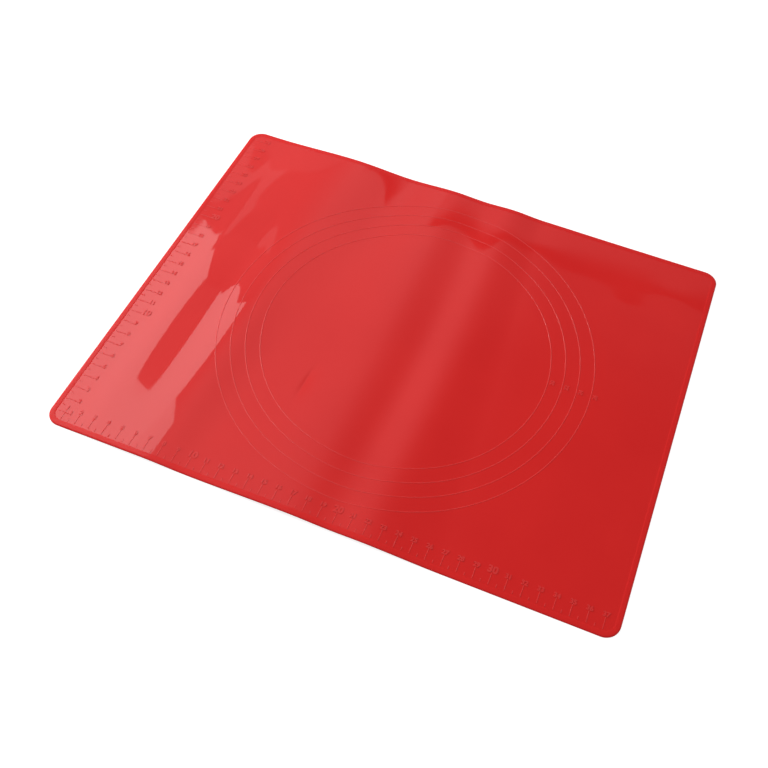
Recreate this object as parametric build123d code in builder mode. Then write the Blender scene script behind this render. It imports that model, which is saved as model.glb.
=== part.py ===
"""Silicone baking mat, laid out on a worktop.

A thin rectangular sheet with rounded corners, a low rounded bead all round its edge, four pastry
rings in relief round its centre, and a centimetre ruler in relief along its front and its left
side. The sheet has been rolled up for storage, so it lies with long soft waves that run from back
to front. The bead and every mark stand on the waves and follow them.

X runs along the long side, Y from front to back and Z up. The origin is on the worktop, under the
middle of the mat.
"""

import os

from build123d import *

# Sheet: its flat size and its stock, and how far it settles flat where it touches the worktop.
sheet_length = 380.0
sheet_width = 300.0
sheet_thickness = 1.0
corner_radius = 10.0
settled_depth = 0.1

# Bead round the edge, a low border with its outer edge rounded off.
bead_width = 4.0
bead_height = 0.3
bead_rounding = 0.25

# Marks: the rings and the rulers are raised by the same height.
mark_height = 0.3

# Rulers: a long tick at each centimetre, and a short one halfway to it from the one before.
centimetre = 10.0
bead_to_tick_gap = 0.5
tick_length = 8.0
half_tick_length = 2.2
tick_width = 0.6
numeral_room = 7.5

# Pastry rings, one raised line each, stepping in from the widest that clears the numerals. Their
# centre stands a little to the right of the middle of the sheet, away from the side ruler.
ring_offset = 1.0
ring_spacing = 10.0
ring_line_width = 0.7
ring_names = ["pastry_ring_26", "pastry_ring_24", "pastry_ring_22", "pastry_ring_20"]

# Waves: the highest crest, and the shares of the length and of that crest at which the sheet is
# level, at a crest or in a trough, along its back edge and along its front edge.
wave_height = 3.0
back_wave_shares = [
    (0.058, 0.0),
    (0.234, 1.0),
    (0.358, 0.15),
    (0.455, 0.70),
    (0.521, 0.33),
    (0.576, 0.60),
    (0.645, 0.0),
]
front_wave_shares = [
    (0.037, 0.0),
    (0.180, 0.42),
    (0.268, 0.05),
    (0.458, 0.75),
    (0.542, 0.48),
    (0.584, 0.52),
    (0.716, 0.0),
]

# How far every cutting shape runs past what it cuts.
overrun = 5.0

half_length = sheet_length / 2
half_width = sheet_width / 2
top_of_sheet = sheet_thickness - settled_depth
tick_start = bead_width + bead_to_tick_gap
widest_ring_radius = min(half_length, half_width) - tick_start - tick_length - numeral_room
blank_half_length = half_length + overrun
blank_half_width = half_width + overrun
cutter_plane = Plane.XY.offset(-overrun)
cutter_height = wave_height + top_of_sheet + bead_height + mark_height + 2 * overrun

os.makedirs("parts", exist_ok=True)


def wave_line(shares, height):
    """A line with level ends, and a pair of tangent arcs from each level point to the next."""
    level_points = [(-half_length + x * sheet_length, height + z * wave_height) for x, z in shares]
    Line((-blank_half_length, height), level_points[0])
    for here, there in zip(level_points, level_points[1:]):
        middle = ((here[0] + there[0]) / 2, (here[1] + there[1]) / 2)
        TangentArc(here, middle, tangent=(1, 0))
        TangentArc(middle, there, tangent=(-1, 0), tangent_from_first=False)
    Line(level_points[-1], (blank_half_length, height))


def wavy_layer(bottom, thickness):
    """A layer of the mat, larger than its outline, ruled from its front line to its back line."""
    top = bottom + thickness
    with BuildPart() as layer:
        for shares, side in ((front_wave_shares, -1), (back_wave_shares, 1)):
            with BuildSketch(Plane.XZ.offset(-side * blank_half_width)):
                with BuildLine():
                    wave_line(shares, bottom)
                    Line((blank_half_length, bottom), (blank_half_length, top))
                    wave_line(shares, top)
                    Line((-blank_half_length, top), (-blank_half_length, bottom))
                make_face()
        loft(ruled=True)
    return layer.part


def ruler_ticks(side_length):
    """Where each tick stands along a side, counted from the corner, and how long the tick is."""
    room = side_length - tick_start - tick_width
    ticks = [(centimetre, tick_length)]
    for number in range(2, int(room / centimetre) + 1):
        ticks.append((number * centimetre - centimetre / 2, half_tick_length))
        ticks.append((number * centimetre, tick_length))
    return ticks


def front_ticks(mode=Mode.ADD):
    """The ticks of the front ruler, pointing away from the front edge."""
    for along, length in ruler_ticks(sheet_length):
        with Locations((-half_length + along, -half_width + tick_start + length / 2)):
            Rectangle(tick_width, length, mode=mode)


def side_ticks():
    """The ticks of the side ruler, pointing away from the left edge."""
    for along, length in ruler_ticks(sheet_width):
        with Locations((-half_length + tick_start + length / 2, -half_width + along)):
            Rectangle(length, tick_width)


def looks_up(face):
    """Whether a face lies nearer to level than to upright."""
    normal = face.normal_at()
    return normal.Z > abs(normal.X) + abs(normal.Y)


def is_wall(face):
    """Whether a face stands nearer to upright than to level."""
    normal = face.normal_at()
    return abs(normal.X) + abs(normal.Y) > abs(normal.Z)


# The three layers that the mat is cut from. They follow the same waves, each one on the last.
sheet_layer = wavy_layer(-settled_depth, sheet_thickness)
bead_layer = wavy_layer(top_of_sheet, bead_height)
mark_layer = wavy_layer(top_of_sheet, mark_height)

# Sheet, cut to its outline, and flat where it has settled on the worktop.
with BuildPart() as mat_sheet:
    add(sheet_layer)
    with BuildSketch(Plane.XY):
        RectangleRounded(sheet_length, sheet_width, corner_radius)
    extrude(amount=cutter_height, mode=Mode.INTERSECT)
mat_sheet.part.label = "mat_sheet"
export_step(mat_sheet.part, "parts/mat_sheet.step")

# Bead, a border on the sheet. It is rounded on the outside before its middle is cut out.
with BuildPart() as edge_bead:
    add(bead_layer)
    with BuildSketch(cutter_plane):
        RectangleRounded(sheet_length, sheet_width, corner_radius)
    extrude(amount=cutter_height, mode=Mode.INTERSECT)
    top_faces = edge_bead.faces().filter_by(looks_up)
    walls = edge_bead.faces().filter_by(is_wall)
    fillet(top_faces.edges() & walls.edges(), radius=bead_rounding)
    with BuildSketch(cutter_plane):
        RectangleRounded(sheet_length, sheet_width, corner_radius)
        offset(amount=-bead_width, mode=Mode.REPLACE)
    extrude(amount=cutter_height, mode=Mode.SUBTRACT)
edge_bead.part.label = "edge_bead"
export_step(edge_bead.part, "parts/edge_bead.step")

# Pastry rings, each named by its diameter in centimetres.
for index, ring_name in enumerate(ring_names):
    ring_radius = widest_ring_radius - index * ring_spacing
    with BuildPart() as pastry_ring:
        add(mark_layer)
        with BuildSketch(cutter_plane):
            with Locations((ring_offset, 0)):
                Circle(ring_radius + ring_line_width / 2)
                Circle(ring_radius - ring_line_width / 2, mode=Mode.SUBTRACT)
        extrude(amount=cutter_height, mode=Mode.INTERSECT)
    pastry_ring.part.label = ring_name
    export_step(pastry_ring.part, f"parts/{ring_name}.step")

# Front ruler.
with BuildPart() as front_ruler:
    add(mark_layer)
    with BuildSketch(cutter_plane):
        front_ticks()
    extrude(amount=cutter_height, mode=Mode.INTERSECT)
front_ruler.part.label = "front_ruler"
export_step(front_ruler.part, "parts/front_ruler.step")

# Side ruler. The first ticks of the two rulers cross, and the front one runs through.
with BuildPart() as side_ruler:
    add(mark_layer)
    with BuildSketch(cutter_plane):
        side_ticks()
        front_ticks(mode=Mode.SUBTRACT)
    extrude(amount=cutter_height, mode=Mode.INTERSECT)
side_ruler.part.label = "side_ruler"
export_step(side_ruler.part, "parts/side_ruler.step")
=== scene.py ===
# %% [markdown]
# # A silicone baking mat
#
# The object is one thin moulding of glossy red silicone rubber, 380 by 300 mm. It has been rolled
# up in a drawer, so it lies in long soft waves. What makes it look real is the light: a mirror-like
# skin over a soft red body shows every ripple. So this lesson spends its care on three things: the
# shape of the waves, the low relief that stands on them, and four finishes from glossy to matt.

# %% Load the frame
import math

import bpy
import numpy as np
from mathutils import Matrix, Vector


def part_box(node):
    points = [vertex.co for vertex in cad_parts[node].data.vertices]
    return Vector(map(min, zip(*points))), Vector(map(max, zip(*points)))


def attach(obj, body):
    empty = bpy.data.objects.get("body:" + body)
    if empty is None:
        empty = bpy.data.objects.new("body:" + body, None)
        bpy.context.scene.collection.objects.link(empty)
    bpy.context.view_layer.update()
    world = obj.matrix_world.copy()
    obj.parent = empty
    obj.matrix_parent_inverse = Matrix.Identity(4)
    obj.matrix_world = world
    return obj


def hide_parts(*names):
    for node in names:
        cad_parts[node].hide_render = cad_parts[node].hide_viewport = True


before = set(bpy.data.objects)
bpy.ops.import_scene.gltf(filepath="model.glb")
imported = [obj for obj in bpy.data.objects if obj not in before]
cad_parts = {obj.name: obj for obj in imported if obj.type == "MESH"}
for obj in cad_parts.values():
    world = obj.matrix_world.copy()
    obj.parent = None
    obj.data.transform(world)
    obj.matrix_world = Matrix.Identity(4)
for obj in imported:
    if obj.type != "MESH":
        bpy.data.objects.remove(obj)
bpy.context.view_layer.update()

# %% [markdown]
# ## Sizes from the frame
#
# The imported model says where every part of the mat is, so the sizes are read from it and not typed.
# The stock, the bead and the marks get a few sizes of their own. All lengths are in metres, and
# `mm` makes them easy to read.

mm = 0.001

_, sheet_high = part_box("mat_sheet")
half_length = sheet_high.x
half_width = sheet_high.y
corner_radius = 10 * mm
sheet_thickness = 1.0 * mm
settled_depth = 0.1 * mm

front_ruler_low, front_ruler_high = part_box("front_ruler")
_, side_ruler_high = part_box("side_ruler")
tick_start = front_ruler_low.y + half_width
tick_length = front_ruler_high.y - front_ruler_low.y
centimetre = 10 * mm
last_front_number = round((front_ruler_high.x + half_length) / centimetre)
last_side_number = round((side_ruler_high.y + half_width) / centimetre)

print(f"mat {2 * half_length / mm:.0f} by {2 * half_width / mm:.0f} mm,"
      f" numbers to {last_front_number} and {last_side_number}")

# %% [markdown]
# ## Small helpers
#
# Blender's operators act on whatever is selected, and the loaded frame is left selected. So each
# piece starts from an empty selection, and each one ends with its object at the origin and its
# place in its mesh.

# %% Helpers for whole pieces
def start_fresh():
    """Leaves nothing selected, in object mode."""
    if bpy.context.object and bpy.context.object.mode != "OBJECT":
        bpy.ops.object.mode_set(mode="OBJECT")
    bpy.ops.object.select_all(action="DESELECT")


def select_only(piece):
    """Makes a piece the active object and the only one selected."""
    start_fresh()
    piece.select_set(True)
    bpy.context.view_layer.objects.active = piece


def bake_place(piece):
    """Moves the place, turn and scale of an object into its mesh."""
    select_only(piece)
    bpy.ops.object.transform_apply(location=True, rotation=True, scale=True)


def join_as(pieces, name):
    """Joins some mesh objects into one, with a name."""
    select_only(pieces[0])
    for piece in pieces:
        piece.select_set(True)
    if len(pieces) > 1:
        bpy.ops.object.join()
    joined = bpy.context.object
    joined.name = name
    joined.data.name = name
    bake_place(joined)
    return joined


# %% Helpers for vertices
def points_of(piece):
    """The vertices of a piece as rows of x, y and z."""
    flat = np.zeros(len(piece.data.vertices) * 3)
    piece.data.vertices.foreach_get("co", flat)
    return flat.reshape(-1, 3)


def place_points(piece, points):
    """Writes new places for the vertices of a piece."""
    piece.data.vertices.foreach_set("co", points.ravel())
    piece.data.update()


# %% [markdown]
# ## The waves
#
# The sheet is level at a few crests and troughs along its front edge and along its back edge, and
# straight lines join the two edges. Each level place is a share of the length, with the share of
# the highest crest that the sheet reaches there. Between two of them it follows an S-curve.

# %% Wave heights
wave_height = 3.0 * mm
back_wave_shares = [
    (0.058, 0.0),
    (0.234, 1.0),
    (0.358, 0.15),
    (0.455, 0.70),
    (0.521, 0.33),
    (0.576, 0.60),
    (0.645, 0.0),
]
front_wave_shares = [
    (0.037, 0.0),
    (0.180, 0.42),
    (0.268, 0.05),
    (0.458, 0.75),
    (0.542, 0.48),
    (0.584, 0.52),
    (0.716, 0.0),
]


def level_place(front_level, back_level, back):
    """Where the sheet is level between its front and back edge, and how high it is there."""
    share = front_level[0] + (back_level[0] - front_level[0]) * back
    height_share = front_level[1] + (back_level[1] - front_level[1]) * back
    return -half_length + 2 * half_length * share, height_share * wave_height


def wave_at(x, y):
    """The height of the waves at each place of the flat mat."""
    back = (y + half_width) / (2 * half_width)
    levels = [level_place(*pair, back) for pair in zip(front_wave_shares, back_wave_shares)]
    height = np.zeros_like(x)
    for (start, start_height), (end, end_height) in zip(levels, levels[1:]):
        share = np.clip((x - start) / (end - start), 0, 1)
        bend = share * share * (3 - 2 * share)
        inside = (x >= start) & (x < end)
        height[inside] = (start_height + (end_height - start_height) * bend)[inside]
    return height


print(f"waves up to {wave_height / mm:.0f} mm high, level at {len(back_wave_shares)} places")

# %% [markdown]
# ## Ripples
#
# Between the long waves the skin has shallow ripples, a few tenths of a millimetre high. A glossy
# surface shows them plainly, because they bend the edge of every reflection. Each ripple is a soft
# hump. It has a place, a half-length along its ridge, a half-width across it and a height, all in
# millimetres, and a turn in degrees. The two narrowest stand side by side and are the short crease
# inside the smallest ring, a groove with one steep and one gentle side.

# %% Ripple heights
ripples = [
    (-160, -50, 80, 8, 0.58, 0),
    (-133, -20, 72, 8, -0.60, 0),
    (-106, -60, 90, 8, 0.30, 0),
    (-104, 85, 48, 20, -0.8, 0),
    (-72, 10, 80, 16, 0.50, 0),
    (9, -70, 90, 9, -0.35, 4),
    (36, -70, 90, 10, 0.35, 4),
    (-146, 68, 16, 6, 0.10, 20),
    (-163, 60, 40, 8, 0.14, 10),
    (-49, -58.5, 8, 0.9, -0.20, 3),
    (-47, -58.5, 9, 2.2, -0.20, 3),
    (-40, 112, 12, 14, 0.22, 0),
    (50, 125, 10, 16, 0.16, 0),
    (135, 90, 8, 13, 0.13, 0),
    (162, 118, 10, 11, 0.13, 0),
    (128, -60, 60, 9, 0.12, 0),
    (62, 40, 110, 20, 0.50, 0),
]


def ripples_at(x, y):
    """The height of the ripples at each place of the flat mat."""
    height = np.zeros_like(x)
    for place_x, place_y, half_run, half_across, rise, turn in ripples:
        along_x, along_y = math.sin(math.radians(turn)), math.cos(math.radians(turn))
        from_x, from_y = x - place_x * mm, y - place_y * mm
        along = (from_x * along_x + from_y * along_y) / (half_run * mm)
        across = (from_x * along_y - from_y * along_x) / (half_across * mm)
        height += rise * mm * np.exp(-(along ** 2 + across ** 2) / 2)
    return height


rises = [rise for *place_and_size, rise, turn in ripples]
print(len(ripples), "ripples, from", min(rises), "to", max(rises), "mm")

# %% [markdown]
# Every piece is flat at first, which keeps its shaping simple. Then each of its vertices is lifted
# by the waves and ripples under it, and where the sheet is low it stops at the worktop. All pieces
# go through this same step, so every mark stays on the sheet.

# %% Laying a piece on the worktop
def lay_on_worktop(piece):
    """Lets a flat piece follow the waves and ripples, and rest on the worktop where it's low."""
    points = points_of(piece)
    x, y = points[:, 0].copy(), points[:, 1].copy()
    lift = wave_at(x, y) + ripples_at(x, y) - settled_depth
    points[:, 2] = np.maximum(points[:, 2] + lift, 0)
    place_points(piece, points)
    return piece


# %% [markdown]
# ## The camera
#
# The photograph was taken from above the front right of the mat, with a normal lens. The place and
# the three angles come from fitting the mat's own ruler and rings to the picture. The small shift
# keeps the mat where it is in the frame.

# %% Camera
camera_place = (0.1239, -0.3746, 0.5261)
camera_angles = (34.208, -2.603, 21.689)
camera_lens = 44.617
camera_sensor = 36
camera_shift = (-0.02875, 0.00286)
nearest_seen = 1 * mm

start_fresh()
bpy.ops.object.camera_add(
    location=camera_place,
    rotation=[math.radians(angle) for angle in camera_angles],
)
camera = bpy.context.object
camera.name = "photo_camera"
camera.data.lens = camera_lens
camera.data.sensor_width = camera_sensor
camera.data.shift_x, camera.data.shift_y = camera_shift
camera.data.clip_start = nearest_seen
bpy.context.scene.camera = camera
bpy.context.scene.view_settings.view_transform = "Standard"
print(f"camera {Vector(camera_place).length:.2f} m away, with a lens of {camera_lens:.0f} mm")

# %% [markdown]
# ## The stage
#
# The mat lies on a plain white ground. The floor glows a little for the rays that see it, so it
# stays white at a plain light level and still takes the soft shadow at the mat's edge. The world is
# white where it's seen, and weaker where it lights the mat. A Light Path node in the material tells
# the two kinds of ray apart.

# %% Helpers for glowing materials
def blank_material(name):
    """A material whose node tree is still empty, and that tree."""
    material = bpy.data.materials.new(name)
    material.use_nodes = True
    material.node_tree.nodes.clear()
    return material, material.node_tree


def show_on_surface(tree, shader):
    """Makes a shader the surface of its material."""
    output = tree.nodes.new("ShaderNodeOutputMaterial")
    tree.links.new(shader.outputs[0], output.inputs["Surface"])


def work_out(tree, operation, first, second):
    """A value worked out from two others."""
    node = tree.nodes.new("ShaderNodeMath")
    node.operation = operation
    tree.links.new(first, node.inputs[0])
    tree.links.new(second, node.inputs[1])
    return node.outputs[0]


def emission_for_seen_rays(tree, seen, unseen):
    """A strength with one value for camera, glossy and clear rays, and another for the rest."""
    rays = tree.nodes.new("ShaderNodeLightPath")
    either = work_out(
        tree, "MAXIMUM", rays.outputs["Is Camera Ray"], rays.outputs["Is Glossy Ray"]
    )
    any_seen = work_out(tree, "MAXIMUM", either, rays.outputs["Is Transmission Ray"])
    strength = tree.nodes.new("ShaderNodeMapRange")
    strength.inputs["To Min"].default_value = unseen
    strength.inputs["To Max"].default_value = seen
    tree.links.new(any_seen, strength.inputs["Value"])
    return strength.outputs["Result"]


# %% Floor
floor_size = 8.0
floor_drop = 0.05 * mm
floor_tone = 0.40
floor_glow = 0.80


def make_floor_material():
    """A pale matt floor that also glows for the rays that see it."""
    material, tree = blank_material("pale_floor")
    matt = tree.nodes.new("ShaderNodeBsdfDiffuse")
    matt.inputs["Color"].default_value = (floor_tone, floor_tone, floor_tone, 1)
    glow = tree.nodes.new("ShaderNodeEmission")
    tree.links.new(emission_for_seen_rays(tree, floor_glow, 0), glow.inputs["Strength"])
    both = tree.nodes.new("ShaderNodeAddShader")
    tree.links.new(matt.outputs[0], both.inputs[0])
    tree.links.new(glow.outputs[0], both.inputs[1])
    show_on_surface(tree, both)
    return material


start_fresh()
bpy.ops.mesh.primitive_plane_add(size=floor_size, location=(0, 0, -floor_drop))
floor = bpy.context.object
floor.name = "studio_floor"
floor.data.materials.append(make_floor_material())
print("floor", floor_size, "m wide")

# %% World
seen_white = 1
fill_light = 0.535

world = bpy.data.worlds.new("studio_world")
bpy.context.scene.world = world
world.use_nodes = True
background = world.node_tree.nodes["Background"]
background.inputs["Color"].default_value = (1, 1, 1, 1)
world.node_tree.links.new(
    emission_for_seen_rays(world.node_tree, seen_white, fill_light),
    background.inputs["Strength"],
)
print("world", seen_white, "where it's seen, and", fill_light, "as light")

# %% [markdown]
# ## The lights
#
# One large softbox hangs over the back left and faces down. The glossy skin mirrors it as the pale
# patch on the left third of the mat, and a thin strip further back as faint loops. A low window far
# on the left rakes over the waves and shades them. It's kept out of the reflections, because it
# would turn the mat white for someone who stands on the right.

# %% Helpers for area lights
def middle_and_size(low, high):
    """The middle and the two side lengths of a rectangle between two corners."""
    middle = [(low_side + high_side) / 2 for low_side, high_side in zip(low, high)]
    size = [high_side - low_side for low_side, high_side in zip(low, high)]
    return middle, size


def add_area_light(place, size, radiance, name):
    """A rectangular light that faces down and shines with a given radiance."""
    start_fresh()
    bpy.ops.object.light_add(type="AREA", location=place)
    light = bpy.context.object
    light.name = name
    light.data.shape = "RECTANGLE"
    light.data.size, light.data.size_y = size
    light.data.energy = radiance * math.pi * size[0] * size[1]
    print(name, f"shines with {light.data.energy:.1f} W")
    return light


# %% Softboxes
softbox_height = 1.0
softbox_radiance = 4.2
softbox_low = (-1.30, -0.20)
softbox_high = (-0.67, 0.807)
softbox_end_low = (-1.30, 0.807)
softbox_end_high = (-0.785, 0.86)
far_strip_radiance = 0.70
far_strip_middle = (-0.7645, 0.97)
far_strip_size = (0.036, 0.262)
far_strip_turn = 8


def add_softbox(low, high, name):
    """A level softbox between two corners."""
    middle, size = middle_and_size(low, high)
    add_area_light((*middle, softbox_height), size, softbox_radiance, name)


add_softbox(softbox_low, softbox_high, "softbox")
add_softbox(softbox_end_low, softbox_end_high, "softbox_end")

far_strip = add_area_light(
    (*far_strip_middle, softbox_height), far_strip_size, far_strip_radiance, "far_strip"
)
far_strip.rotation_euler.z = math.radians(far_strip_turn)

# %% Low window
window_place = (-2.33, 0.62, 0.65)
window_size = (1.0, 1.0)
window_radiance = 12.5

window = add_area_light(window_place, window_size, window_radiance, "low_window")
window.rotation_euler = Vector(window_place).to_track_quat("Z", "Y").to_euler()
window.visible_glossy = False

# %% [markdown]
# ## The room overhead
#
# The rest of the room overhead is dim in the photograph's reflections, so a dim ceiling hides the
# white world from the skin. It's paler near the softbox, and it has one dark beam across its far
# side, whose mirror image is the dark band along the back of the mat. The glow is put together from
# ramps. Each runs between two places on the ceiling and has a level at each of them. The ceiling
# casts no shadow, and the camera never sees it.

# %% Helpers for cards and ceiling
def add_ramp(tree, value, start, end, first, last):
    """A value that runs from the first to the last as another one runs from start to end."""
    ramp = tree.nodes.new("ShaderNodeMapRange")
    ramp.interpolation_type = "SMOOTHSTEP"
    ramp.inputs["From Min"].default_value = start
    ramp.inputs["From Max"].default_value = end
    ramp.inputs["To Min"].default_value = first
    ramp.inputs["To Max"].default_value = last
    tree.links.new(value, ramp.inputs["Value"])
    return ramp.outputs["Result"]


def place_on_card(tree):
    """The place on a card, with X sideways and Y lengthways."""
    place = tree.nodes.new("ShaderNodeTexCoord")
    sides = tree.nodes.new("ShaderNodeSeparateXYZ")
    tree.links.new(place.outputs["Object"], sides.inputs[0])
    return sides.outputs


def add_glow(tree):
    """Makes a material glow. What it gives back is the socket for the strength."""
    glow = tree.nodes.new("ShaderNodeEmission")
    show_on_surface(tree, glow)
    return glow.inputs["Strength"]


def hang(card, name, material, gives_light=False):
    """Hangs a card or ceiling where mirrored rays see it and the camera doesn't."""
    bake_place(card)
    card.name = name
    card.data.materials.append(material)
    card.visible_camera = False
    card.visible_diffuse = gives_light
    card.visible_transmission = False
    card.visible_shadow = False
    corners = [[round(float(side), 3) for side in point] for point in points_of(card)]
    print(name, "corners", corners)


# %% Dim ceiling
ceiling_size = 9.0
ceiling_height = 1.6
left_end_ramp = (-1.05, -0.65, 0.35, 0.95)
right_fade_ramp = (-0.60, 0.06, 1.0, 0.06)
front_to_back_ramp = (1.10, 1.57, 0.05, 0.22)
before_beam_ramp = (1.575, 1.59, 1.0, 0.0)
beside_beam_ramp = (-0.62, -0.50, 1.0, 0.0)
beyond_beam_ramp = (1.61, 1.71, 0.0, 1.0)
far_end_ramp = (-0.6, 0.4, 0.85, 0.38)


def make_ceiling_material():
    """A dim glow that fades to the right, with a dark beam across it and a paler far end."""
    material, tree = blank_material("dim_ceiling")
    place = place_on_card(tree)
    left_end = add_ramp(tree, place["X"], *left_end_ramp)
    right_fade = add_ramp(tree, place["X"], *right_fade_ramp)
    left_to_right = work_out(tree, "MULTIPLY", left_end, right_fade)
    front_to_back = add_ramp(tree, place["Y"], *front_to_back_ramp)
    room = work_out(tree, "ADD", left_to_right, front_to_back)
    before_beam = add_ramp(tree, place["Y"], *before_beam_ramp)
    beside_beam = add_ramp(tree, place["X"], *beside_beam_ramp)
    clear_of_beam = work_out(tree, "MAXIMUM", before_beam, beside_beam)
    near_side = work_out(tree, "MULTIPLY", room, clear_of_beam)
    beyond_beam = add_ramp(tree, place["Y"], *beyond_beam_ramp)
    far_end = add_ramp(tree, place["X"], *far_end_ramp)
    far_side = work_out(tree, "MULTIPLY", far_end, beyond_beam)
    tree.links.new(work_out(tree, "MAXIMUM", near_side, far_side), add_glow(tree))
    return material


start_fresh()
bpy.ops.mesh.primitive_plane_add(size=ceiling_size, location=(0, 0, ceiling_height))
hang(bpy.context.object, "dim_ceiling", make_ceiling_material())

# %% [markdown]
# Two cards with a slanted end finish the pale patch: a bright one beside the softbox, and a dark
# one that photographers call a flag, close over the mat's left end. A plane is cut along a line to
# get each of them. A third card stands over the low window, and the left flanks of the rings catch
# it as thin pale lines.

# %% Flag and bright strip
flag_height = 0.2
flag_low = (-0.30, 0.128)
flag_high = (-0.215, 0.200)
flag_cut_start = (-0.248, 0.128)
flag_cut_run = (-0.042, 0.072)
flag_ramp = (0.13, 0.195, 0.35, 0.55)
strip_low = (-0.67, -0.20)
strip_high = (-0.52, 0.42)
strip_cut_start = (-0.52, 0.335)
strip_cut_run = (0.15, -0.085)


def make_flag_material():
    """A glow that is dark at the front of the flag and as pale as the ceiling at its back."""
    material, tree = blank_material("dim_flag")
    tree.links.new(add_ramp(tree, place_on_card(tree)["Y"], *flag_ramp), add_glow(tree))
    return material


def make_even_material(name, radiance):
    """A glow that is the same all over a card."""
    material, tree = blank_material(name)
    add_glow(tree).default_value = radiance
    return material


def make_card(low, high, height, cut_start, cut_run):
    """A level card between two corners. What lies left of a cut line is taken off."""
    middle, size = middle_and_size(low, high)
    start_fresh()
    bpy.ops.mesh.primitive_plane_add(size=1, location=(*middle, height))
    card = bpy.context.object
    card.scale = (*size, 1)
    bake_place(card)
    bpy.ops.object.mode_set(mode="EDIT")
    bpy.ops.mesh.select_all(action="SELECT")
    bpy.ops.mesh.bisect(
        plane_co=(*cut_start, height),
        plane_no=(-cut_run[1], cut_run[0], 0),
        clear_outer=True,
    )
    bpy.ops.object.mode_set(mode="OBJECT")
    return card


flag = make_card(flag_low, flag_high, flag_height, flag_cut_start, flag_cut_run)
hang(flag, "flag", make_flag_material())
strip = make_card(strip_low, strip_high, softbox_height, strip_cut_start, strip_cut_run)
hang(strip, "bright_strip", make_even_material("strip_glow", softbox_radiance), gives_light=True)

# %% Side card
side_card_place = (-1.93, 0.51, 1.15)
side_card_size = (0.9, 0.6)
side_card_radiance = 9.0

start_fresh()
bpy.ops.mesh.primitive_plane_add(
    size=1,
    location=side_card_place,
    rotation=Vector(side_card_place).to_track_quat("Z", "Y").to_euler(),
)
side_card = bpy.context.object
side_card.scale = (*side_card_size, 1)
hang(side_card, "side_card", make_even_material("side_glow", side_card_radiance))

# %% [markdown]
# ## The silicone
#
# Silicone rubber that came out of a polished mould has a clear, almost wet skin over a body that
# scatters light softly. The coat layer of the shader gives the sharp reflections, and the layer
# below it has a broad sheen. The red and the sheen are never perfectly even, and the body below the
# skin has slight undulations. The finishes of the mat share that, so it's a node group, built once.
# It puts out a tint between 0 and 1 and a bent normal.

# %% Unevenness shared by the finishes
cloud_detail = 3
cloud_low = 0.3
cloud_high = 0.7
swell_scale = 45
swell_detail = 1


def make_unevenness():
    """A node group with the cloudy tint and the shallow undulation of moulded rubber."""
    group = bpy.data.node_groups.new("rubber_unevenness", "ShaderNodeTree")
    for name in ("Cloud Scale", "Undulation"):
        group.interface.new_socket(name, in_out="INPUT", socket_type="NodeSocketFloat")
    group.interface.new_socket("Tint", in_out="OUTPUT", socket_type="NodeSocketFloat")
    group.interface.new_socket("Normal", in_out="OUTPUT", socket_type="NodeSocketVector")
    given = group.nodes.new("NodeGroupInput")
    result = group.nodes.new("NodeGroupOutput")
    place = group.nodes.new("ShaderNodeTexCoord")

    cloud = group.nodes.new("ShaderNodeTexNoise")
    cloud.inputs["Detail"].default_value = cloud_detail
    group.links.new(place.outputs["Object"], cloud.inputs["Vector"])
    group.links.new(given.outputs["Cloud Scale"], cloud.inputs["Scale"])
    spread = group.nodes.new("ShaderNodeMapRange")
    spread.inputs["From Min"].default_value = cloud_low
    spread.inputs["From Max"].default_value = cloud_high
    group.links.new(cloud.outputs["Fac"], spread.inputs["Value"])
    group.links.new(spread.outputs["Result"], result.inputs["Tint"])

    swell = group.nodes.new("ShaderNodeTexNoise")
    swell.inputs["Scale"].default_value = swell_scale
    swell.inputs["Detail"].default_value = swell_detail
    group.links.new(place.outputs["Object"], swell.inputs["Vector"])
    bump = group.nodes.new("ShaderNodeBump")
    bump.inputs["Strength"].default_value = 1
    group.links.new(swell.outputs["Fac"], bump.inputs["Height"])
    group.links.new(given.outputs["Undulation"], bump.inputs["Distance"])
    group.links.new(bump.outputs["Normal"], result.inputs["Normal"])
    return group


rubber_unevenness = make_unevenness()
print("node group", rubber_unevenness.name, "with", len(rubber_unevenness.nodes), "nodes")

# %% [markdown]
# The face of the sheet comes from polished steel and is glossy. The border is worn by hands and
# drawers, so it has only part of that gloss. The rings were cut into the steel and buffed, which
# left them a satin gloss. The ticks and numbers are too fine to buff and are nearly matt. The rings,
# ticks and numbers are the same rubber as the sheet, but they are given a slightly paler red: that is
# painted light, for the light the thin ridges catch. So a matt mark looks a little paler than the red
# round it, and darker than the pale patch.

# %% Silicone shader
silicone_ior = 1.41
cloud_scale = 14


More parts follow.
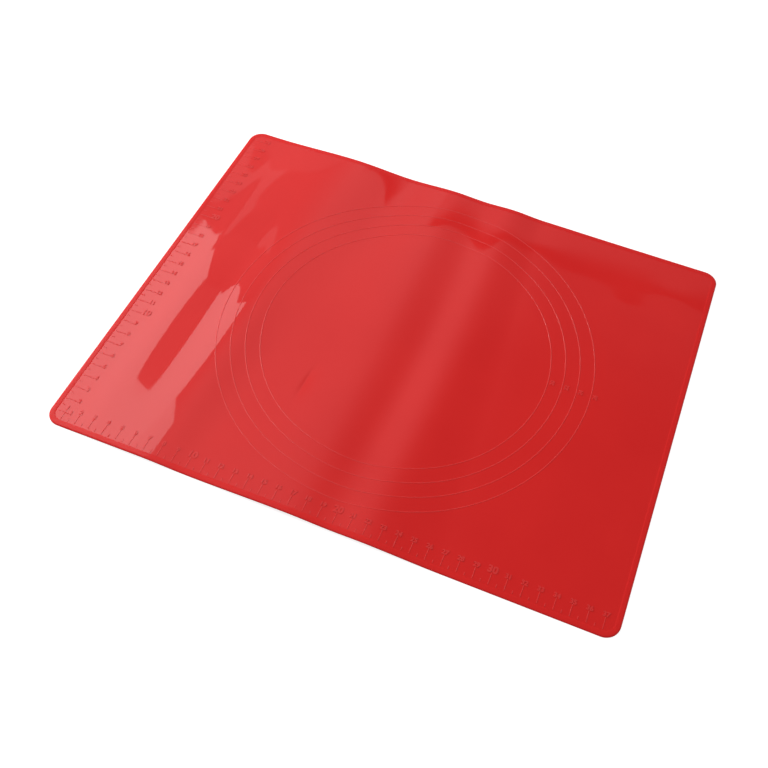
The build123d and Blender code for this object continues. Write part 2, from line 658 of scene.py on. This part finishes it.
def make_silicone(
    name, dark_red, light_red, sheen_range, coat, coat_roughness, specular, undulation
):
    """Red silicone rubber, with a given gloss."""
    material = bpy.data.materials.new(name)
    material.use_nodes = True
    tree = material.node_tree
    shader = tree.nodes["Principled BSDF"]
    shader.inputs["IOR"].default_value = silicone_ior
    shader.inputs["Specular IOR Level"].default_value = specular
    shader.inputs["Coat Weight"].default_value = coat
    shader.inputs["Coat Roughness"].default_value = coat_roughness
    shader.inputs["Coat IOR"].default_value = silicone_ior

    uneven = tree.nodes.new("ShaderNodeGroup")
    uneven.node_tree = rubber_unevenness
    uneven.inputs["Cloud Scale"].default_value = cloud_scale
    uneven.inputs["Undulation"].default_value = undulation
    tint = tree.nodes.new("ShaderNodeValToRGB")
    tint.color_ramp.elements[0].color = (*dark_red, 1)
    tint.color_ramp.elements[1].color = (*light_red, 1)
    tree.links.new(uneven.outputs["Tint"], tint.inputs["Fac"])
    tree.links.new(tint.outputs["Color"], shader.inputs["Base Color"])

    sheen = tree.nodes.new("ShaderNodeMapRange")
    sheen.inputs["To Min"].default_value, sheen.inputs["To Max"].default_value = sheen_range
    tree.links.new(uneven.outputs["Tint"], sheen.inputs["Value"])
    tree.links.new(sheen.outputs["Result"], shader.inputs["Roughness"])
    tree.links.new(uneven.outputs["Normal"], shader.inputs["Normal"])
    print(name, "coat", coat, "with a roughness of", coat_roughness)
    return material


# %% Four finishes
silicone = make_silicone(
    "silicone", dark_red=(0.65, 0.012, 0.011), light_red=(0.68, 0.014, 0.012),
    sheen_range=(0.42, 0.50), coat=0.69, coat_roughness=0.03, specular=0.12,
    undulation=0.02 * mm,
)
worn_silicone = make_silicone(
    "worn_silicone", dark_red=(0.65, 0.012, 0.011), light_red=(0.68, 0.014, 0.012),
    sheen_range=(0.46, 0.54), coat=0.14, coat_roughness=0.03, specular=0.15,
    undulation=0.02 * mm,
)
# The satin and matt finishes get a paler red than the sheet, though it's the same rubber: painted
# light on the marks.
satin_silicone_painted_light = make_silicone(
    "satin_silicone_painted_light", dark_red=(0.67, 0.020, 0.018), light_red=(0.70, 0.022, 0.020),
    sheen_range=(0.50, 0.60), coat=0.69, coat_roughness=0.18, specular=0.2,
    undulation=0.0,
)
matt_silicone_painted_light = make_silicone(
    "matt_silicone_painted_light", dark_red=(0.66, 0.020, 0.018), light_red=(0.69, 0.022, 0.020),
    sheen_range=(0.60, 0.70), coat=0.50, coat_roughness=0.35, specular=0.2,
    undulation=0.0,
)

# %% [markdown]
# ## The sheet
#
# The sheet could be a scaled cube, but then its waves would have nothing to bend. A grid of 2 mm
# cells is fine enough for smooth reflections and coarse enough to stay light. Its columns are drawn
# together where the mat has one short crease, which is narrower than a cell. The corner cells are
# swung round into quarter discs, a Solidify modifier gives the grid its thickness, and only then is
# it laid on the worktop.

# %% Helpers for the grid
crease_place = -49 * mm
crease_reach = 16 * mm
crease_crowding = 0.3


def crowd_columns(points):
    """Draws the columns of a grid together at the place of the crease."""
    away = points[:, 0] - crease_place
    near = np.abs(away) < crease_reach
    share = crease_crowding + (1 - crease_crowding) * np.abs(away) / crease_reach
    points[near, 0] = (crease_place + away * share)[near]
    return points


def round_corners(points, half_x, half_y, radius):
    """Swings each corner square of a grid round into a quarter disc."""
    for row in points:
        from_x = abs(row[0]) - (half_x - radius)
        from_y = abs(row[1]) - (half_y - radius)
        if from_x > 0 and from_y > 0:
            reach = max(from_x, from_y)
            turn = math.pi / 4 * min(from_x, from_y) / reach
            if from_y > from_x:
                turn = math.pi / 2 - turn
            row[0] = math.copysign(half_x - radius + reach * math.cos(turn), row[0])
            row[1] = math.copysign(half_y - radius + reach * math.sin(turn), row[1])
    return points


# %% Sheet
cell = 2 * mm
sheet_inset = 1.3 * mm


def make_sheet():
    """The sheet of the mat, inside the bead."""
    half_x, half_y = half_length - sheet_inset, half_width - sheet_inset
    start_fresh()
    bpy.ops.mesh.primitive_grid_add(
        x_subdivisions=round(2 * half_x / cell),
        y_subdivisions=round(2 * half_y / cell),
        size=1,
        location=(0, 0, sheet_thickness),
    )
    sheet = bpy.context.object
    sheet.scale = (2 * half_x, 2 * half_y, 1)
    bake_place(sheet)
    points = crowd_columns(points_of(sheet))
    points = round_corners(points, half_x, half_y, corner_radius - sheet_inset)
    place_points(sheet, points)
    solid = sheet.modifiers.new("thickness", "SOLIDIFY")
    solid.thickness = sheet_thickness
    solid.offset = -1
    bpy.ops.object.modifier_apply(modifier=solid.name)
    return join_as([sheet], "silicone_sheet")


sheet = lay_on_worktop(make_sheet())
print("sheet", len(sheet.data.polygons), "faces")

# %% [markdown]
# ## The bead
#
# The mat's edge is a low border, 4 mm wide and hardly higher than the sheet. Its top is nearly
# flat, its outside is well rounded and its inside falls away gently. It could be a profile swept
# along a path, but a rounded plate that is inset step by step gives the same form with evenly
# spaced loops, and its corners stay true arcs. The steps are closest where the profile bends most.
# A bridge closes the hidden underside. It starts at a place that differs from run to run, so the
# faces are then sorted by their distance from a point off the mat, which is the same each time.

# %% Profile of the bead
bead_width = 4.3 * mm
bead_height = 0.12 * mm
bead_rounding = 1.2 * mm
rounding_power = 2.4
bead_flat_end = 3.0 * mm
bead_wall = -0.35 * mm
bead_sink = 0.03 * mm
bead_steps = [0.06, 0.2, 0.4, 0.6, 0.9, 1.2, 1.8, 2.4, 3.0, 3.3, 3.6, 3.95, 4.3]


def bead_rise(inward):
    """How far the bead stands above the sheet, at a distance from the outline."""
    if inward < bead_rounding:
        share = 1 - inward / bead_rounding
        return bead_wall + (bead_height - bead_wall) * (1 - share ** rounding_power)
    share = max(inward - bead_flat_end, 0) / (bead_width - bead_flat_end)
    return (bead_height + bead_sink) * (1 + math.cos(math.pi * share)) / 2 - bead_sink


print("bead rises", [round(bead_rise(step * mm) / mm, 2) for step in bead_steps], "mm")

# %% Helpers for selecting and sorting on the bead
def select_bottom_face(piece):
    """Selects the one face that lies on the ground."""
    bpy.ops.mesh.select_all(action="DESELECT")
    bpy.ops.object.mode_set(mode="OBJECT")
    lowest = min(piece.data.polygons, key=lambda face: face.center.z)
    lowest.select = True
    bpy.ops.object.mode_set(mode="EDIT")


def select_straight_sides(piece):
    """Selects the edges of an outline that are longer than its corner arcs."""
    bpy.ops.mesh.select_mode(type="EDGE")
    bpy.ops.mesh.select_all(action="DESELECT")
    bpy.ops.object.mode_set(mode="OBJECT")
    points = points_of(piece)
    for edge in piece.data.edges:
        start, end = (points[vertex] for vertex in edge.vertices)
        edge.select = bool(np.linalg.norm(end - start) > corner_radius)
    bpy.ops.object.mode_set(mode="EDIT")


def sort_by_distance_from(place):
    """Puts the edges and faces of a mesh in an order that is the same each run."""
    cursor = bpy.context.scene.cursor
    cursor.location = place
    bpy.ops.mesh.sort_elements(type="CURSOR_DISTANCE", elements={"EDGE", "FACE"})
    cursor.location = (0, 0, 0)


# %% Bead
corner_segments = 14
side_cuts = 159
bead_lip = 1.6 * mm
sorting_place = (-1.3, -0.7, 0)


def make_bead():
    """The rounded bead round the edge, as a closed ring."""
    start_fresh()
    bpy.ops.mesh.primitive_plane_add(size=1)
    bead = bpy.context.object
    bead.scale = (2 * half_length, 2 * half_width, 1)
    bake_place(bead)
    bpy.ops.object.mode_set(mode="EDIT")
    bpy.ops.mesh.select_all(action="SELECT")
    bpy.ops.mesh.bevel(offset=corner_radius, segments=corner_segments, affect="VERTICES")
    select_straight_sides(bead)
    bpy.ops.mesh.subdivide(number_cuts=side_cuts)
    bpy.ops.mesh.select_mode(type="FACE")
    bpy.ops.mesh.select_all(action="SELECT")
    wall_rise = sheet_thickness + bead_rise(0)
    bpy.ops.mesh.extrude_region_move(TRANSFORM_OT_translate={"value": (0, 0, wall_rise)})
    reached = 0
    for inward in bead_steps:
        bpy.ops.mesh.inset(
            thickness=inward * mm - reached,
            depth=bead_rise(inward * mm) - bead_rise(reached),
            use_even_offset=True,
        )
        reached = inward * mm
    bpy.ops.mesh.delete(type="FACE")
    select_bottom_face(bead)
    bpy.ops.mesh.inset(thickness=bead_lip, use_even_offset=True)
    bpy.ops.mesh.delete(type="FACE")
    bpy.ops.mesh.select_mode(type="EDGE")
    bpy.ops.mesh.select_non_manifold(extend=False)
    bpy.ops.mesh.bridge_edge_loops()
    bpy.ops.mesh.select_all(action="SELECT")
    bpy.ops.mesh.normals_make_consistent(inside=False)
    sort_by_distance_from(sorting_place)
    bpy.ops.object.mode_set(mode="OBJECT")
    return join_as([bead], "rounded_bead")


bead = lay_on_worktop(make_bead())
print("bead", len(bead.data.polygons), "faces")

# %% [markdown]
# ## The pastry rings
#
# Four thin raised lines help to roll pastry to a size. A torus is the natural start. It's squashed,
# and sunk in the sheet by more than half, so that only a low cap with gentle flanks stands out, as
# a worn mould leaves it.

# %% Pastry rings
ring_names = ["pastry_ring_20", "pastry_ring_22", "pastry_ring_24", "pastry_ring_26"]
ring_width = 0.66 * mm
ring_tube = 0.41 * mm
ring_half_height = 0.35 * mm
ring_sunk = 0.21 * mm
ring_segments = 480
tube_segments = 16


def ring_radius(node):
    """The radius of the middle of a pastry ring's line."""
    low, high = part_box(node)
    return (high.x - low.x) / 2 - ring_width / 2


def ring_centre(node):
    """Where the middle of a pastry ring is along the mat."""
    low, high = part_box(node)
    return (low.x + high.x) / 2


def make_ring(node):
    """One ridge, the cap of a squashed torus."""
    start_fresh()
    bpy.ops.mesh.primitive_torus_add(
        location=(ring_centre(node), 0, sheet_thickness - ring_sunk),
        major_radius=ring_radius(node),
        minor_radius=ring_tube,
        major_segments=ring_segments,
        minor_segments=tube_segments,
    )
    ring = bpy.context.object
    ring.scale.z = ring_half_height / ring_tube
    return join_as([ring], node + "_line")


rings = {node: lay_on_worktop(make_ring(node)) for node in ring_names}
print("rings", [round(2 * ring_radius(node) / mm) for node in ring_names], "mm across")

# %% [markdown]
# ## The rulers
#
# Every centimetre has a long tick and every half a short one. A tick is modelled once in each
# length, from a cube with its edges rounded and a few cuts along it, so that it can bend with the
# waves. Then it's copied to its places and the copies are joined into one ruler.

# %% Ticks
tick_width = 0.55 * mm
tick_rise = 0.12 * mm
tick_rounding = 0.10 * mm
rounding_segments = 3
tick_cuts = 3


def make_tick(length):
    """A low bar along Y with rounded edges, standing half out of the sheet."""
    start_fresh()
    bpy.ops.mesh.primitive_cube_add(size=1, location=(0, 0, sheet_thickness))
    tick = bpy.context.object
    tick.scale = (tick_width, length, 2 * tick_rise)
    bake_place(tick)
    rounding = tick.modifiers.new("rounding", "BEVEL")
    rounding.width = tick_rounding
    rounding.segments = rounding_segments
    bpy.ops.object.modifier_apply(modifier=rounding.name)
    bpy.ops.object.mode_set(mode="EDIT")
    for cut in range(1, tick_cuts + 1):
        bpy.ops.mesh.select_all(action="SELECT")
        bpy.ops.mesh.bisect(
            plane_co=(0, length * (cut / (tick_cuts + 1) - 0.5), 0), plane_no=(0, 1, 0)
        )
    bpy.ops.object.mode_set(mode="OBJECT")
    return tick


def copy_at(piece, place, turn):
    """A copy of a piece with its own mesh, at a place on the mat and turned about Z."""
    copy = piece.copy()
    copy.data = piece.data.copy()
    bpy.context.collection.objects.link(copy)
    copy.location.x += place[0]
    copy.location.y += place[1]
    copy.rotation_euler.z = turn
    return copy


# %% Rulers
half_tick_length = 2.2 * mm


def make_ruler(last_number, place_on_mat, turn, name):
    """A ruler of long and short ticks, from the first centimetre to the last."""
    long_tick, short_tick = make_tick(tick_length), make_tick(half_tick_length)
    ticks = []
    for number in range(1, last_number + 1):
        along = number * centimetre
        ticks.append(copy_at(long_tick, place_on_mat(along, tick_length), turn))
        if number > 1:
            half_place = place_on_mat(along - centimetre / 2, half_tick_length)
            ticks.append(copy_at(short_tick, half_place, turn))
    for master in (long_tick, short_tick):
        bpy.data.objects.remove(master)
    return join_as(ticks, name)


def on_front(along, length):
    """The middle of a front tick, counted from the left corner."""
    return -half_length + along, -half_width + tick_start + length / 2


def on_side(along, length):
    """The middle of a side tick, counted from the front corner."""
    return -half_length + tick_start + length / 2, -half_width + along


front_ticks = lay_on_worktop(make_ruler(last_front_number, on_front, 0, "front_ruler_ticks"))
side_ticks = lay_on_worktop(
    make_ruler(last_side_number, on_side, math.pi / 2, "side_ruler_ticks")
)
print("ticks", len(front_ticks.data.polygons), "and", len(side_ticks.data.polygons), "faces")

# %% [markdown]
# ## The numbers
#
# Plain numbers stand at the end of each long tick, the tens a good deal larger. A text object gives
# clean strokes. Its height is set by measuring one digit first. Then it's raised a little, turned
# into a mesh, and laid on the waves like all the rest.

# %% Height of a digit
def measure_digit():
    """How tall a digit is in a font of size 1."""
    start_fresh()
    bpy.ops.object.text_add()
    text = bpy.context.object
    text.data.body = "1"
    bpy.context.view_layer.update()
    tall = text.dimensions.y
    bpy.data.objects.remove(text)
    return tall


digit_share = measure_digit()
print(f"a digit is {digit_share:.2f} tall in a font of size 1")

# %% Raised numerals
numeral_rise = 0.22 * mm
bevel_share = 0.3
stroke_share = 0.030
curve_steps = 4


def text_mesh(words, height, name):
    """Plain raised numerals of one height, centred on the origin."""
    start_fresh()
    bpy.ops.object.text_add()
    text = bpy.context.object
    text.data.body = words
    text.data.align_x = "CENTER"
    text.data.size = height / digit_share
    text.data.resolution_u = curve_steps
    text.data.offset = stroke_share * height / digit_share
    text.data.extrude = numeral_rise * (1 - bevel_share)
    text.data.bevel_depth = numeral_rise * bevel_share
    text.data.bevel_resolution = 1
    text.location = (0, -height / 2, sheet_thickness)
    select_only(text)
    bpy.ops.object.convert(target="MESH")
    piece = bpy.context.object
    piece.name = name
    bake_place(piece)
    return piece


# %% Numbers of the rulers
numeral_height = 2.9 * mm
tens_height = 4.4 * mm
numeral_gap = 1.5 * mm
tens_gap = 2.2 * mm
side_number_start = 13.2 * mm
side_number_drop = 0.4 * mm
one_digit_share = 0.3
two_digit_share = 0.65


def numbers_along(last_number, place_on_mat, name):
    """The numbers of a ruler, from 1 to the last."""
    pieces = []
    for number in range(1, last_number + 1):
        height = numeral_height if number % 10 else tens_height
        piece = text_mesh(str(number), height, f"{name}_{number}")
        piece.location.x, piece.location.y = place_on_mat(number, height)
        pieces.append(piece)
    return join_as(pieces, name)


def above_front_tick(number, height):
    """Over the end of a front tick."""
    gap = numeral_gap if number % 10 else tens_gap
    return -half_length + number * centimetre, -half_width + tick_start + tick_length + gap


def beside_side_tick(number, height):
    """Past the end of a side tick, standing on its line."""
    width_share = one_digit_share if number < 10 else two_digit_share
    along = side_number_start + width_share * height
    up = number * centimetre + height / 2 - side_number_drop
    return -half_length + along, -half_width + up


front_numbers = lay_on_worktop(
    numbers_along(last_front_number, above_front_tick, "front_ruler_numbers")
)
side_numbers = lay_on_worktop(
    numbers_along(last_side_number, beside_side_tick, "side_ruler_numbers")
)
print("numbers", len(front_numbers.data.polygons), "and", len(side_numbers.data.polygons), "faces")

# %% [markdown]
# Each pastry ring has its diameter in centimetres just outside it on the right. The numerals are
# turned by a quarter, so that they read along the line of the ring.

# %% Ring numbers
ring_number_height = 2.6 * mm
ring_number_gap = 2.6 * mm
ring_number_back = 8 * mm


def make_ring_numbers():
    """The diameter beside each ring, taken from the ring's name."""
    pieces = []
    for node in ring_names:
        piece = text_mesh(node[-2:], ring_number_height, node + "_number")
        piece.rotation_euler.z = math.pi / 2
        piece.location.x = ring_centre(node) + ring_radius(node) + ring_number_gap
        piece.location.y = ring_number_back
        pieces.append(piece)
    return join_as(pieces, "ring_numbers")


ring_numbers = lay_on_worktop(make_ring_numbers())
print("ring numbers", len(ring_numbers.data.polygons), "faces")

# %% [markdown]
# ## Putting it together
#
# Every piece rides on the mat's one body and takes the finish of its one material slot. Each new
# piece stands for the plain solid of the same part, which is hidden.

# %% Pieces on the frame
smooth_angle = 50

stand_ins = {
    "mat_sheet": sheet,
    "edge_bead": bead,
    "front_ruler": front_ticks,
    "side_ruler": side_ticks,
    **rings,
}
for node, piece in stand_ins.items():
    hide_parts(node)

finishes = {ring: satin_silicone_painted_light for ring in rings.values()}
finishes[sheet] = silicone
finishes[bead] = worn_silicone
mat_pieces = [*stand_ins.values(), front_numbers, side_numbers, ring_numbers]
for piece in mat_pieces:
    piece.data.materials.clear()
    piece.data.materials.append(finishes.get(piece, matt_silicone_painted_light))
    select_only(piece)
    bpy.ops.object.shade_smooth_by_angle(angle=math.radians(smooth_angle))
    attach(piece, "root")
    print(piece.name, "in", piece.data.materials[0].name)
